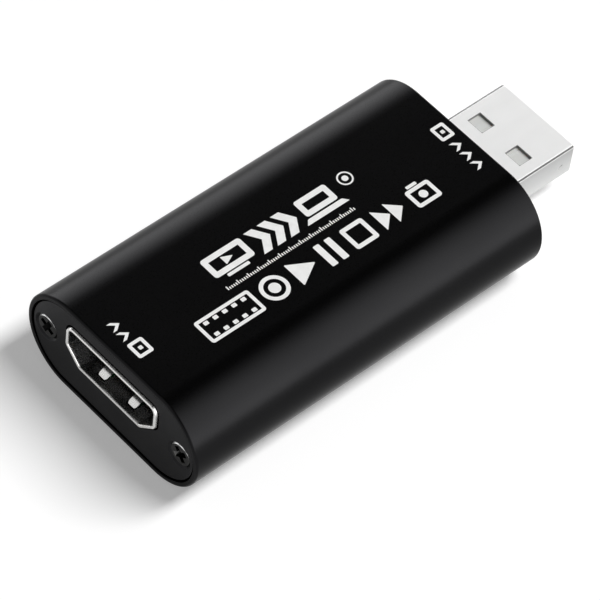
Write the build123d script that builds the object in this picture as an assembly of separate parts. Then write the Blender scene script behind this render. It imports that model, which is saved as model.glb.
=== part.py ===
from build123d import *
import math
import os

# A video capture stick: a flat-oval aluminium tube with a plate screwed into each end, a video
# socket in the input plate and a computer plug standing out of the output plate. A circuit board
# slides into slots along the tube and carries both connectors.
#
# +X points from the video socket to the computer plug, +Z is up, and the origin is under the middle of
# the tube, on its flat underside. Facing the socket, left is +Y. All lengths are millimetres.

os.makedirs("parts", exist_ok=True)

# Tube housing
housing_length = 51.2
housing_height = 13.0
housing_wall = 1.2
housing_end_rounding = 0.3
lip_wall = 0.65
lip_depth = 1.65

# End plates, which sit inside the tube's lip
plate_gap = 0.18
plate_recess = 0.15
plate_edge_break = 0.1

# Countersunk screws, two in each plate
screw_diameter = 2.0
screw_length = 6.0
screw_edge_distance = 3.0
screw_to_socket_gap = 1.75
screw_sink = 0.1
screw_tip_chamfer = 0.3
head_diameter = 3.1
head_rim = 0.05
head_seat_gap = 0.02
screw_hole_gap = 0.1
screw_bore_gap = 0.05
recess_span = 1.9
recess_slot = 0.45
recess_depth = 0.8
recess_floor_shares = (0.5, 0.7)

# Screw channels and board ledges, drawn with the tube
channel_wall = 0.7
channel_web = 1.6
ledge_overlap = 1.2
ledge_width = 1.5

# Circuit board
board_thickness = 1.2
board_drop = 1.3
board_side_gap = 0.2
board_end_gap = 0.4
board_corner_radius = 0.5

# Connector sheet metal
sheet = 0.3

# Video socket shell, sizes of its inside
socket_width = 14.0
socket_height = 4.55
socket_slant_inset = 2.1
socket_slant_rise = 1.9
socket_corner_radius = 0.4
socket_top_radius = 0.7
socket_length = 12.0
socket_proud = 0.1
socket_side_offset = 0.2
socket_cutout_gap = 0.2
socket_rim_flare = 0.15
socket_rim_rounding = 0.1
socket_mouth_rounding = 0.2
socket_leg_length = 1.4
socket_leg_through = 0.8
socket_leg_gap = 0.15
socket_leg_root = 0.4
socket_leg_place_shares = (0.34, 0.88)

# Retention springs, cut from the socket shell's floor and roof
spring_thickness = 0.2
spring_root_width = 1.6
spring_tip_width = 1.0
spring_spacing = 4.9
spring_root_setback = 7.0
spring_peak_setback = 2.3
spring_peak_length = 0.5
spring_tip_setback = 1.05
spring_peak_rise = 0.5
spring_tip_rise = 0.2
spring_side_gap = 0.2
spring_root_gap = 0.05

# Socket insulator and contacts
socket_fit_gap = 0.05
tongue_width = 10.5
tongue_thickness = 1.6
tongue_setback = 2.6
tongue_rise = 0.2
tongue_nose_chamfer = 0.25
insulator_block_length = 3.0
socket_contact_pitch = 1.0
socket_contact_width = 0.3
socket_contact_thickness = 0.15
socket_contact_proud = 0.03
socket_contact_setback = 0.4
socket_contact_foot = 0.9
upper_tail_distance = 0.6
lower_tail_distance = 0.2
upper_contact_count = 10
lower_contact_count = 9

# Computer plug shell
plug_width = 12.0
plug_height = 4.5
plug_corner_radius = 0.6
plug_reach = 12.8
plug_inside = 6.0
plug_below_board = 0.44
plug_cutout_gap = 0.2
plug_tip_chamfer = 0.1
plug_hole_length = 1.95
plug_hole_width = 2.4
plug_hole_setback = 5.16
plug_hole_from_middle = 1.9
plug_hole_radius = 0.15
plug_dimple_radius = 0.5
plug_dimple_depth = 0.12
plug_dimple_setback = 2.0
plug_seam_gap = 0.1
plug_seam_jog = 1.1
plug_seam_shares = (0.22, 0.36, 0.6, 0.74)
plug_wing_length = 2.2
plug_wing_reach = 1.5
plug_wing_setback = 0.7
plug_notch_gap = 0.3

# Plug insulator and contacts
plug_fit_gap = 0.05
plug_insulator_setback = 0.6
plug_block_length = 4.0
plug_slab_rise = 0.1
plug_pocket_depth = 0.35
plug_pocket_margin = 0.1
plug_contact_width = 1.0
plug_contact_thickness = 0.25
plug_contact_proud = 0.1
plug_contact_foot = 2.2
power_contact_offset = 3.5
power_contact_setback = 1.4
data_contact_offset = 1.0
data_contact_setback = 2.4

# Gull-wing packages: capture chip, memory chip and regulators
chip_stand_off = 0.1
capture_chip_size = 7.0
capture_chip_height = 1.1
capture_lead_count = 12
capture_lead_pitch = 0.5
capture_lead_width = 0.22
memory_chip_length = 4.9
memory_chip_width = 3.9
memory_chip_height = 1.4
memory_lead_count = 4
memory_lead_pitch = 1.27
memory_lead_width = 0.4
regulator_length = 2.9
regulator_width = 1.6
regulator_height = 1.1
regulator_near_lead_count = 3
regulator_far_lead_count = 2
regulator_lead_pitch = 0.95
regulator_lead_width = 0.35
lead_thickness = 0.15
lead_reach = 1.0
lead_shoulder_share = 0.35
chip_edge_chamfer = 0.15
pin_mark_radius = 0.35
pin_mark_depth = 0.05
pin_mark_inset = 0.9

# Other parts on the board
crystal_length = 3.2
crystal_width = 2.5
crystal_base_height = 0.5
crystal_lid_height = 0.3
crystal_lid_inset = 0.2
inductor_size = 3.0
inductor_flange = 0.35
inductor_height = 1.5
inductor_core_radius = 1.2
inductor_corner_radius = 0.4
capacitor_length = 1.6
capacitor_width = 0.8
resistor_length = 1.0
resistor_width = 0.5
resistor_height = 0.35
cap_end_share = 0.22
cap_end_proud = 0.03
array_length = 2.0
array_width = 1.0
array_height = 0.55
array_edge_chamfer = 0.1
solder_spread = 0.5
solder_height = 0.5

# How the small parts are set out on the board
component_margin = 0.4
component_gap = 0.6
array_count = 4
resistor_count = 8
capacitor_count = 6
output_capacitor_count = 4
chip_capacitor_count = 3

# How far a cutting shape runs past what it cuts
overrun = 1.0

# Places that follow from the sizes above
mid_z = housing_height / 2
end_x = housing_length / 2
seat_x = end_x - lip_depth
plate_thickness = lip_depth - plate_recess
plate_inset = lip_wall + plate_gap
screw_radius = screw_diameter / 2
head_radius = head_diameter / 2
screw_bore_radius = screw_radius + screw_bore_gap
channel_radius = screw_bore_radius + channel_wall
board_top_z = mid_z - board_drop
board_bottom_z = board_top_z - board_thickness
socket_outer_half = socket_width / 2 + sheet
screw_y = socket_side_offset + socket_outer_half + screw_to_socket_gap + channel_radius
housing_width = 2 * (screw_y + screw_edge_distance)
channel_reach = math.sqrt(channel_radius**2 - board_drop**2)
board_half_width = screw_y - channel_reach - board_side_gap
board_half_length = seat_x - board_end_gap
socket_front_x = -end_x - socket_proud
socket_back_x = socket_front_x + socket_length
socket_floor_z = board_top_z + sheet
socket_roof_z = socket_floor_z + socket_height
spring_root_x = socket_front_x + spring_root_setback
spring_tip_x = socket_front_x + spring_tip_setback
tongue_z = socket_floor_z + socket_height / 2 + tongue_rise
plug_tip_x = end_x + plug_reach
plug_back_x = end_x - plug_inside
plug_length = plug_reach + plug_inside
plug_z = board_top_z - plug_below_board
plug_slab_z = plug_z + plug_slab_rise
plug_contact_z = plug_slab_z - plug_contact_proud
plug_notch_x = plug_back_x - plug_notch_gap
plug_notch_half_width = plug_width / 2 + plug_notch_gap
feet_front_x = socket_back_x + upper_tail_distance + socket_contact_foot + component_margin
feet_back_x = plug_notch_x - plug_contact_foot - component_margin
capture_chip_span = capture_chip_size + 2 * lead_reach
memory_chip_span = memory_chip_width + 2 * lead_reach
regulator_span = regulator_width + 2 * lead_reach
regulator_spacing = regulator_length + component_gap
power_depth = memory_chip_span + inductor_size + regulator_span + 2 * component_gap
memory_chip_y = (power_depth - memory_chip_span) / 2
inductor_y = power_depth / 2 - memory_chip_span - component_gap - inductor_size / 2
regulator_y = (regulator_span - power_depth) / 2
column_widths = {
    "array": array_width,
    "resistor": resistor_width,
    "capacitor": capacitor_width,
    "capture": capture_chip_span,
    "output_capacitor": capacitor_width,
    "power": regulator_length + regulator_spacing,
}
spring_places = {
    "lower_left": (-1, 1),
    "lower_right": (-1, -1),
    "upper_left": (1, 1),
    "upper_right": (1, -1),
}


def block(low, high):
    """A block between its lowest and its highest corner."""
    size = [b - a for a, b in zip(low, high)]
    middle = [(a + b) / 2 for a, b in zip(low, high)]
    return Pos(*middle) * Box(*size)


def across(x):
    """The plane that cuts the stick across at x, with Y and Z as its own axes."""
    return Plane(origin=(x, 0, 0), x_dir=(0, 1, 0), z_dir=(1, 0, 0))


def facing(x, y, z, side):
    """A place whose own +Z points along +X for side 1, and along -X for side -1."""
    return Plane(origin=(x, y, z), x_dir=(0, 1, 0), z_dir=(side, 0, 0))


def oval(inset):
    """The tube's outer section, drawn in by inset all round."""
    return Pos(0, mid_z) * SlotOverall(housing_width - 2 * inset, housing_height - 2 * inset)


def between(section, low_x, high_x):
    """A section across the stick, drawn out from low_x to high_x."""
    return extrude(across(low_x) * section, amount=high_x - low_x)


def column_middles():
    """The middle of each column of parts, set evenly between the connectors' contact feet."""
    free_length = feet_back_x - feet_front_x - sum(column_widths.values())
    column_gap = free_length / (len(column_widths) + 1)
    middles = {}
    edge_x = feet_front_x
    for name, width in column_widths.items():
        middles[name] = edge_x + column_gap + width / 2
        edge_x += column_gap + width
    return middles


def on_board(x, y):
    """A place on the board's top."""
    return Pos(x, y, board_top_z)


def centred(count, pitch):
    """Evenly spaced places either side of zero."""
    return [(index - (count - 1) / 2) * pitch for index in range(count)]


def solids_of(shapes):
    """Separate solids kept together as one group."""
    return Compound(children=[solid for shape in shapes for solid in shape.solids()])


def inner_profile():
    """The screw channels with their webs, and the board ledges, joined to the tube's wall."""
    profile = Sketch()
    ledge_y = board_half_width - ledge_overlap + ledge_width / 2
    web_reach = housing_width / 2 - screw_y
    for side in (-1, 1):
        profile += Pos(side * screw_y, mid_z) * Circle(channel_radius)
        profile += Pos(side * (screw_y + web_reach / 2), mid_z) * Rectangle(web_reach, channel_web)
        profile += Pos(side * ledge_y, board_bottom_z / 2) * Rectangle(ledge_width, board_bottom_z)
    return profile & oval(housing_wall / 2)


def housing():
    """The tube, with a lip round each end and its end edges rounded."""
    tube = between(oval(0) - oval(housing_wall), -end_x, end_x)
    tube += between(inner_profile(), -seat_x, seat_x)
    for side in (-1, 1):
        tube -= between(Pos(side * screw_y, mid_z) * Circle(screw_bore_radius), -end_x, end_x)
        tube -= between(oval(lip_wall), *sorted((side * seat_x, side * (end_x + overrun))))
    for face in (tube.faces().sort_by(Axis.X)[0], tube.faces().sort_by(Axis.X)[-1]):
        tube = fillet(face.outer_wire().edges(), housing_end_rounding)
    return tube


def end_plate(side, opening):
    """A plate in the tube's lip, with two countersunk holes and an opening for its connector."""
    face_x = side * (seat_x + plate_thickness)
    plate = between(oval(plate_inset), *sorted((side * seat_x, face_x)))
    outer_face = plate.faces().sort_by(Axis.X)[-1 if side > 0 else 0]
    plate = chamfer(outer_face.edges(), plate_edge_break)
    plate -= between(opening, *sorted((side * (seat_x - overrun), side * (end_x + overrun))))
    hole_radius = screw_radius + screw_hole_gap
    mouth_radius = head_radius + head_seat_gap + screw_sink + head_rim
    cone_depth = mouth_radius - hole_radius
    for hole_y in (-screw_y, screw_y):
        place = facing(face_x, hole_y, mid_z, side)
        cone = Pos(0, 0, -cone_depth / 2) * Cone(hole_radius, mouth_radius, cone_depth)
        hole = Cylinder(hole_radius, 2 * lip_depth + overrun)
        plate -= place * cone
        plate -= place * hole
    return plate


def socket_section(grow):
    """The socket's D section, with its inside drawn out by grow all round."""
    half_top = socket_width / 2
    half_bottom = half_top - socket_slant_inset
    knee_z = socket_floor_z + socket_slant_rise
    outline = Polyline(
        (-half_bottom, socket_floor_z),
        (half_bottom, socket_floor_z),
        (half_top, knee_z),
        (half_top, socket_roof_z),
        (-half_top, socket_roof_z),
        (-half_top, knee_z),
        close=True,
    )
    face = make_face(outline)
    face = fillet(face.vertices().group_by(Axis.Y)[-1], socket_top_radius)
    low_corners = face.vertices().group_by(Axis.Y)[:2]
    face = fillet([corner for group in low_corners for corner in group], socket_corner_radius)
    if grow:
        face = offset(face, amount=grow)
    return Pos(socket_side_offset, 0) * face


def plug_section(grow):
    """The plug's outer section, drawn out by grow all round."""
    radius = plug_corner_radius + grow
    return Pos(0, plug_z) * RectangleRounded(plug_width + 2 * grow, plug_height + 2 * grow, radius)


def input_plate():
    return end_plate(-1, socket_section(sheet + socket_rim_flare + socket_cutout_gap))


def output_plate():
    return end_plate(1, plug_section(plug_cutout_gap))


def cross_recess():
    """The tapered cross in a screw's head, whose face is at zero."""
    cut = Part()
    span_share, slot_share = recess_floor_shares
    face = Rectangle(recess_span, recess_slot)
    floor = Rectangle(recess_span * span_share, recess_slot * slot_share)
    floor = Pos(0, 0, -recess_depth) * floor
    wing = loft([floor.face(), face.face()]) + extrude(face, amount=overrun)
    for turn in (0, 90):
        cut += Rot(0, 0, turn) * wing
    return cut


def screw():
    """A countersunk cross-recess screw, its head's face at zero and its shank down -Z."""
    cone_height = head_radius - screw_radius
    shank_length = screw_length - head_rim - cone_height
    body = Pos(0, 0, -head_rim / 2) * Cylinder(head_radius, head_rim)
    body += Pos(0, 0, -head_rim - cone_height / 2) * Cone(screw_radius, head_radius, cone_height)
    shank = Cylinder(screw_radius, shank_length)
    shank = chamfer(shank.faces().sort_by(Axis.Z)[0].edges(), screw_tip_chamfer)
    body += Pos(0, 0, shank_length / 2 - screw_length) * shank
    return body - cross_recess()


def plate_screws(side):
    """The two screws that hold one end plate."""
    head_x = side * (seat_x + plate_thickness - screw_sink)
    return solids_of([facing(head_x, y, mid_z, side) * screw() for y in (-screw_y, screw_y)])


def socket_legs(grow):
    """The shell's four legs, which pass through the board, thickened by grow for their slots."""
    legs = []
    half_length = socket_leg_length / 2 + grow
    foot_z = board_bottom_z - socket_leg_through
    root_z = socket_floor_z + socket_slant_rise + socket_leg_root
    for share in socket_leg_place_shares:
        middle_x = socket_front_x + share * socket_length
        for side in (-1, 1):
            outer_y = socket_side_offset + side * socket_outer_half
            inner_y = outer_y - side * sheet
            low_y, high_y = sorted((inner_y, outer_y))
            legs.append(block(
                (middle_x - half_length, low_y - grow, foot_z),
                (middle_x + half_length, high_y + grow, root_z),
            ))
    return legs


def circuit_board():
    """The board, notched for the sunk plug and slotted for the socket's legs."""
    plan = RectangleRounded(2 * board_half_length, 2 * board_half_width, board_corner_radius)
    board = extrude(Pos(0, 0, board_bottom_z) * plan, amount=board_thickness)
    board -= block(
        (plug_notch_x, -plug_notch_half_width, board_bottom_z - overrun),
        (board_half_length + overrun, plug_notch_half_width, board_top_z + overrun),
    )
    for slot in socket_legs(socket_leg_gap):
        board -= slot
    return board


def spring_plan(grow, root_end_x):
    """A spring's outline from above, grown by grow at its sides and tip."""
    root_half = spring_root_width / 2 + grow
    tip_half = spring_tip_width / 2 + grow
    outline = Polyline(
        (root_end_x, -root_half),
        (root_end_x, root_half),
        (spring_tip_x - grow, tip_half),
        (spring_tip_x - grow, -tip_half),
        close=True,
    )
    return make_face(outline)


def spring_middle_y(side):
    return socket_side_offset + side * spring_spacing / 2


def spring_wall_z(level):
    """The middle of the sheet that a spring is cut from: the floor at level -1, the roof at 1."""
    return socket_roof_z + sheet / 2 if level > 0 else socket_floor_z - sheet / 2


def bar(start, end, width):
    """A flat bar with round ends between two points of a plane."""
    run_x = end[0] - start[0]
    run_y = end[1] - start[1]
    middle = Pos((start[0] + end[0]) / 2, (start[1] + end[1]) / 2)
    turn = Rot(0, 0, math.degrees(math.atan2(run_y, run_x)))
    return middle * turn * SlotCenterToCenter(math.hypot(run_x, run_y), width)


def socket_spring(level, side):
    """A leaf spring that rises from its root to a peak near the mouth and dips to its tip."""
    wall_z = spring_wall_z(level)
    peak_back_x = socket_front_x + spring_peak_setback + spring_peak_length / 2
    path = [
        (spring_root_x, wall_z),
        (peak_back_x, wall_z - level * spring_peak_rise),
        (peak_back_x - spring_peak_length, wall_z - level * spring_peak_rise),
        (spring_tip_x + spring_thickness / 2, wall_z - level * spring_tip_rise),
    ]
    side_view = Sketch()
    for start, end in zip(path, path[1:]):
        side_view += bar(start, end, spring_thickness)
    leaf = extrude(Plane.XZ * side_view, amount=spring_root_width / 2 + overrun, both=True)
    plan = Pos(0, 0, wall_z) * spring_plan(0, spring_root_x + spring_thickness)
    leaf &= extrude(plan, amount=spring_peak_rise + overrun, both=True)
    return Pos(0, spring_middle_y(side), 0) * leaf


def socket_shell():
    """The socket's sheet-metal shell, flared at its mouth, with four windows and four legs."""
    rim_section = socket_section(sheet + socket_rim_flare)
    shell = between(socket_section(sheet), socket_front_x, socket_back_x)
    shell += between(rim_section, socket_front_x, socket_front_x + sheet)
    for leg in socket_legs(0):
        shell += leg
    shell -= between(socket_section(0), socket_front_x - overrun, socket_back_x + overrun)
    front = shell.faces().sort_by(Axis.X)[0]
    shell = fillet(front.inner_wires()[0].edges(), socket_mouth_rounding)
    front = shell.faces().sort_by(Axis.X)[0]
    shell = fillet(front.outer_wire().edges(), socket_rim_rounding)
    window_end_x = spring_root_x + spring_thickness / 2 + spring_root_gap
    for level, side in spring_places.values():
        plan = Pos(0, spring_middle_y(side), spring_wall_z(level))
        plan = plan * spring_plan(spring_side_gap, window_end_x)
        shell -= extrude(plan, amount=sheet, both=True)
    return shell


def socket_contacts(count, level):
    """A row of contacts on the tongue's upper (1) or lower (-1) face, down to the board behind."""
    tail_distance = upper_tail_distance if level > 0 else lower_tail_distance
    outer_z = tongue_z + level * (tongue_thickness / 2 + socket_contact_proud)
    low_z, high_z = sorted((outer_z, outer_z - level * socket_contact_thickness))
    front_x = socket_front_x + tongue_setback + socket_contact_setback
    tail_x = socket_back_x + tail_distance
    tail_back_x = tail_x + socket_contact_thickness
    foot_x = tail_x + socket_contact_foot
    foot_z = board_top_z + socket_contact_thickness
    contacts = []
    for place in centred(count, socket_contact_pitch):
        middle_y = socket_side_offset + place
        low_y = middle_y - socket_contact_width / 2
        high_y = middle_y + socket_contact_width / 2
        contact = block((front_x, low_y, low_z), (tail_back_x, high_y, high_z))
        contact += block((tail_x, low_y, board_top_z), (tail_back_x, high_y, high_z))
        contact += block((tail_x, low_y, board_top_z), (foot_x, high_y, foot_z))
        contacts.append(contact)
    return contacts


def socket_insulator(contacts):
    """The block that fills the shell's back and its tongue, grooved for the contacts."""
    block_x = socket_back_x - insulator_block_length
    body = between(socket_section(-socket_fit_gap), block_x, socket_back_x)
    tongue_front_x = socket_front_x + tongue_setback
    tongue = block(
        (tongue_front_x, socket_side_offset - tongue_width / 2, tongue_z - tongue_thickness / 2),
        (block_x, socket_side_offset + tongue_width / 2, tongue_z + tongue_thickness / 2),
    )
    tongue = chamfer(tongue.faces().sort_by(Axis.X)[0].edges(), tongue_nose_chamfer)
    body += tongue
    for contact in contacts:
        body -= contact
    return body


def plug_wings():
    """The shell's two side wings, which lie on the board."""
    wings = []
    low_x = plug_back_x + plug_wing_setback
    for side in (-1, 1):
        inner_y = side * (plug_width / 2 - sheet)
        outer_y = side * (plug_notch_half_width + plug_wing_reach)
        low_y, high_y = sorted((inner_y, outer_y))
        wings.append(block(
            (low_x, low_y, board_top_z),
            (low_x + plug_wing_length, high_y, board_top_z + sheet),
        ))
    return wings


def plug_hole_plan(grow):
    """The two latch holes from above, grown by grow."""
    middle_x = plug_tip_x - plug_hole_setback - plug_hole_length / 2
    middle_y = plug_hole_from_middle + plug_hole_width / 2
    length = plug_hole_length + 2 * grow
    width = plug_hole_width + 2 * grow
    hole = RectangleRounded(length, width, plug_hole_radius)
    return [Pos(middle_x, side * middle_y) * hole for side in (-1, 1)]


def plug_seam():
    """The keyed joint line of the rolled sheet, along the shell's underside."""
    turns = [plug_back_x + share * plug_length for share in plug_seam_shares]
    levels = (0, plug_seam_jog, 0, -plug_seam_jog, 0)
    stops = [plug_back_x - overrun, *turns, plug_tip_x + overrun]
    plan = Sketch()
    for level, start, end in zip(levels, stops, stops[1:]):
        run = end - start + plug_seam_gap
        plan += Pos((start + end) / 2, level) * Rectangle(run, plug_seam_gap)
    for before, after, turn in zip(levels, levels[1:], turns):
        rise = abs(after - before) + plug_seam_gap
        plan += Pos(turn, (before + after) / 2) * Rectangle(plug_seam_gap, rise)
    wall_z = plug_z - plug_height / 2 + sheet / 2
    return extrude(Pos(0, 0, wall_z) * plan, amount=sheet, both=True)


def plug_shell():
    """The computer plug's rolled shell, with latch holes, side dimples, a seam and two wings."""
    shell = between(plug_section(0), plug_back_x, plug_tip_x)
    shell = chamfer(shell.faces().sort_by(Axis.X)[-1].edges(), plug_tip_chamfer)
    for wing in plug_wings():
        shell += wing
    shell -= between(plug_section(-sheet), plug_back_x - overrun, plug_tip_x + overrun)
    for hole in plug_hole_plan(0):
        shell -= extrude(Pos(0, 0, plug_z) * hole, amount=plug_height, both=True)
    ball_offset = plug_width / 2 + plug_dimple_radius - plug_dimple_depth
    for side in (-1, 1):
        place = Pos(plug_tip_x - plug_dimple_setback, side * ball_offset, plug_z)
        shell -= place * Sphere(plug_dimple_radius)
    return shell - plug_seam()


def plug_contacts():
    """Four flat contacts, from near the plug's tip back to a step up to their feet on the board."""
    places = (
        (-power_contact_offset, power_contact_setback),
        (-data_contact_offset, data_contact_setback),
        (data_contact_offset, data_contact_setback),
        (power_contact_offset, power_contact_setback),
    )
    half_width = plug_contact_width / 2
    step_x = plug_back_x - plug_contact_thickness
    foot_z = board_top_z + plug_contact_thickness
    contacts = []
    for middle_y, setback in places:
        low_y = middle_y - half_width
        high_y = middle_y + half_width
        strip_z = plug_contact_z + plug_contact_thickness
        contact = block((step_x, low_y, plug_contact_z), (plug_tip_x - setback, high_y, strip_z))
        contact += block((step_x, low_y, plug_contact_z), (plug_back_x, high_y, foot_z))
        contact += block(
            (plug_notch_x - plug_contact_foot, low_y, board_top_z),
            (plug_back_x, high_y, foot_z),
        )
        contacts.append(contact)
    return contacts


def plug_insulator(contacts):
    """The plug's plastic: a block at the back and a slab under the shell's top, with two pockets."""
    inside = plug_section(-sheet - plug_fit_gap)
    body = between(inside, plug_back_x, plug_tip_x - plug_insulator_setback)
    body -= block(
        (plug_back_x + plug_block_length, -plug_width, plug_z - plug_height),
        (plug_tip_x + overrun, plug_width, plug_slab_z),
    )
    pocket_floor_z = plug_z + plug_height / 2 - sheet - plug_pocket_depth
    for hole in plug_hole_plan(plug_pocket_margin):
        body -= extrude(Pos(0, 0, pocket_floor_z) * hole, amount=plug_height)
    for contact in contacts:
        body -= contact
    return body


def chip_body(length, width, height):
    """A moulded package standing off the board, with a mark beside its first lead."""
    body = Pos(0, 0, chip_stand_off + height / 2) * Box(length, width, height)
    body = chamfer(body.faces().sort_by(Axis.Z)[-1].edges(), chip_edge_chamfer)
    mark = Pos(pin_mark_inset - length / 2, pin_mark_inset - width / 2, chip_stand_off + height)
    return body - mark * Cylinder(pin_mark_radius, 2 * pin_mark_depth)


def lead(body_half, body_height, width):
    """One gull-wing lead, from a package's +X side down to the board."""
    shoulder_z = chip_stand_off + body_height / 2
    shoulder_x = body_half + lead_reach * lead_shoulder_share
    out = block(
        (body_half, -width / 2, shoulder_z - lead_thickness / 2),
        (shoulder_x + lead_thickness, width / 2, shoulder_z + lead_thickness / 2),
    )
    down = block(
        (shoulder_x, -width / 2, 0),
        (shoulder_x + lead_thickness, width / 2, shoulder_z + lead_thickness / 2),
    )
    foot = block(
        (shoulder_x, -width / 2, 0),
        (body_half + lead_reach, width / 2, lead_thickness),
    )
    return out + down + foot


def lead_row(turn, body_half, body_height, offsets, width):
    """Leads along one side of a package, turned from its +X side to that side."""
    one = lead(body_half, body_height, width)
    return [Rot(0, 0, turn) * Pos(0, place, 0) * one for place in offsets]


def capture_chip():
    body = chip_body(capture_chip_size, capture_chip_size, capture_chip_height)
    return on_board(columns["capture"], 0) * body


def capture_chip_leads():
    leads = []
    offsets = centred(capture_lead_count, capture_lead_pitch)
    for turn in (0, 90, 180, 270):
        leads += lead_row(turn, capture_chip_size / 2, capture_chip_height, offsets, capture_lead_width)
    return solids_of([on_board(columns["capture"], 0) * one for one in leads])


def memory_chip():
    body = chip_body(memory_chip_length, memory_chip_width, memory_chip_height)
    return on_board(columns["power"], memory_chip_y) * body


def memory_chip_leads():
    leads = []
    offsets = centred(memory_lead_count, memory_lead_pitch)
    for turn in (90, 270):
        leads += lead_row(turn, memory_chip_width / 2, memory_chip_height, offsets, memory_lead_width)
    return solids_of([on_board(columns["power"], memory_chip_y) * one for one in leads])


def regulator_places():
    return [on_board(columns["power"] + x, regulator_y) for x in centred(2, regulator_spacing)]


def regulators():
    """Two small voltage regulators."""
    body = Pos(0, 0, chip_stand_off + regulator_height / 2)
    body = body * Box(regulator_length, regulator_width, regulator_height)
    body = chamfer(body.faces().sort_by(Axis.Z)[-1].edges(), chip_edge_chamfer)
    return solids_of([place * body for place in regulator_places()])


def regulator_leads():
    """The leads of each regulator, every place filled on one side and every second on the other."""
    half = regulator_width / 2
    near_offsets = centred(regulator_near_lead_count, regulator_lead_pitch)
    far_offsets = centred(regulator_far_lead_count, 2 * regulator_lead_pitch)
    leads = lead_row(90, half, regulator_height, near_offsets, regulator_lead_width)
    leads += lead_row(270, half, regulator_height, far_offsets, regulator_lead_width)
    return solids_of([place * one for place in regulator_places() for one in leads])


def beside_chip(width):
    """The middle of a part of that width, next to the capture chip's leads."""
    return capture_chip_span / 2 + component_gap + width / 2


def crystal():
    """A crystal in its ceramic base, closed by a metal lid."""
    base = Pos(0, 0, crystal_base_height / 2) * Box(crystal_length, crystal_width, crystal_base_height)
    lid_length = crystal_length - 2 * crystal_lid_inset
    lid_width = crystal_width - 2 * crystal_lid_inset
    lid = Rectangle(lid_length, lid_width)
    lid = extrude(Pos(0, 0, crystal_base_height) * lid, amount=crystal_lid_height)
    return on_board(columns["capture"], beside_chip(crystal_width)) * (base + lid)


def inductor():
    """A bobbin with two square flanges round its wound core."""
    flange = RectangleRounded(inductor_size, inductor_size, inductor_corner_radius)
    flange = extrude(flange, amount=inductor_flange)
    core = Pos(0, 0, inductor_height / 2) * Cylinder(inductor_core_radius, inductor_height)
    body = flange + core + Pos(0, 0, inductor_height - inductor_flange) * flange
    return on_board(columns["power"], inductor_y) * body


def end_capped(length, width, height):
    """A small block part with a metal cap at each end, lying along Y."""
    body = block(
        (-width / 2, -length / 2, cap_end_proud),
        (width / 2, length / 2, height - cap_end_proud),
    )
    cap_length = length * cap_end_share
    for side in (-1, 1):
        low_y, high_y = sorted((side * length / 2, side * (length / 2 - cap_length)))
        body += block(
            (-width / 2 - cap_end_proud, low_y, 0),
            (width / 2 + cap_end_proud, high_y, height),
        )
    return body


def capacitors():
    """Two columns of capacitors, and a row of them beside the capture chip."""
    one = end_capped(capacitor_length, capacitor_width, capacitor_width)
    pitch = capacitor_length + component_gap
    places = [on_board(columns["capacitor"], y) for y in centred(capacitor_count, pitch)]
    places += [on_board(columns["output_capacitor"], y) for y in centred(output_capacitor_count, pitch)]
    row_y = -beside_chip(capacitor_length)
    places += [on_board(columns["capture"] + x, row_y) for x in centred(chip_capacitor_count, pitch)]
    return solids_of([place * one for place in places])


def resistors():
    """A column of resistors, and one each side of the crystal."""
    one = end_capped(resistor_length, resistor_width, resistor_height)
    pitch = resistor_length + component_gap
    places = [on_board(columns["resistor"], y) for y in centred(resistor_count, pitch)]
    spacing = crystal_length + 2 * component_gap + resistor_width
    row_y = beside_chip(crystal_width)
    places += [on_board(columns["capture"] + x, row_y) for x in centred(2, spacing)]
    return solids_of([place * one for place in places])


def protection_arrays():
    """Four flat arrays that guard the socket's signal pairs."""
    one = Pos(0, 0, array_height / 2) * Box(array_width, array_length, array_height)
    one = chamfer(one.faces().sort_by(Axis.Z)[-1].edges(), array_edge_chamfer)
    places = [on_board(columns["array"], y) for y in centred(array_count, array_length + component_gap)]
    return solids_of([place * one for place in places])


def solder_joints():
    """Solder round the socket's legs under the board, and along the outer edges of the wings."""
    joints = []
    for leg in socket_legs(0):
        box = leg.bounding_box()
        middle = box.center()
        wide = Rectangle(box.size.X + 2 * solder_spread, box.size.Y + 2 * solder_spread)
        narrow = Rectangle(box.size.X + solder_spread, box.size.Y + solder_spread)
        top = Pos(middle.X, middle.Y, board_bottom_z) * wide
        bottom = Pos(middle.X, middle.Y, board_bottom_z - solder_height) * narrow
        joints.append(loft([bottom.face(), top.face()]) - leg)
    for wing in plug_wings():
        box = wing.bounding_box()
        side = 1 if box.center().Y > 0 else -1
        edge_y = box.max.Y if side > 0 else box.min.Y
        outline = Polyline(
            (edge_y, board_top_z),
            (edge_y + side * solder_spread, board_top_z),
            (edge_y, board_top_z + sheet),
            close=True,
        )
        joints.append(between(make_face(outline), box.min.X, box.max.X))
    return solids_of(joints)


columns = column_middles()
upper_contacts = socket_contacts(upper_contact_count, 1)
lower_contacts = socket_contacts(lower_contact_count, -1)
flat_contacts = plug_contacts()

nodes = {
    "housing": housing(),
    "input_plate": input_plate(),
    "output_plate": output_plate(),
    "input_plate_screws": plate_screws(-1),
    "output_plate_screws": plate_screws(1),
    "circuit_board": circuit_board(),
    "socket_shell": socket_shell(),
    "socket_insulator": socket_insulator(upper_contacts + lower_contacts),
    "socket_contacts_upper": solids_of(upper_contacts),
    "socket_contacts_lower": solids_of(lower_contacts),
    "plug_shell": plug_shell(),
    "plug_insulator": plug_insulator(flat_contacts),
    "plug_contacts": solids_of(flat_contacts),
    "capture_chip": capture_chip(),
    "capture_chip_leads": capture_chip_leads(),
    "memory_chip": memory_chip(),
    "memory_chip_leads": memory_chip_leads(),
    "regulators": regulators(),
    "regulator_leads": regulator_leads(),
    "crystal": crystal(),
    "inductor": inductor(),
    "capacitors": capacitors(),
    "resistors": resistors(),
    "protection_arrays": protection_arrays(),
    "solder_joints": solder_joints(),
}
for name, (level, side) in spring_places.items():
    nodes[f"socket_spring_{name}"] = socket_spring(level, side)

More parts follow.
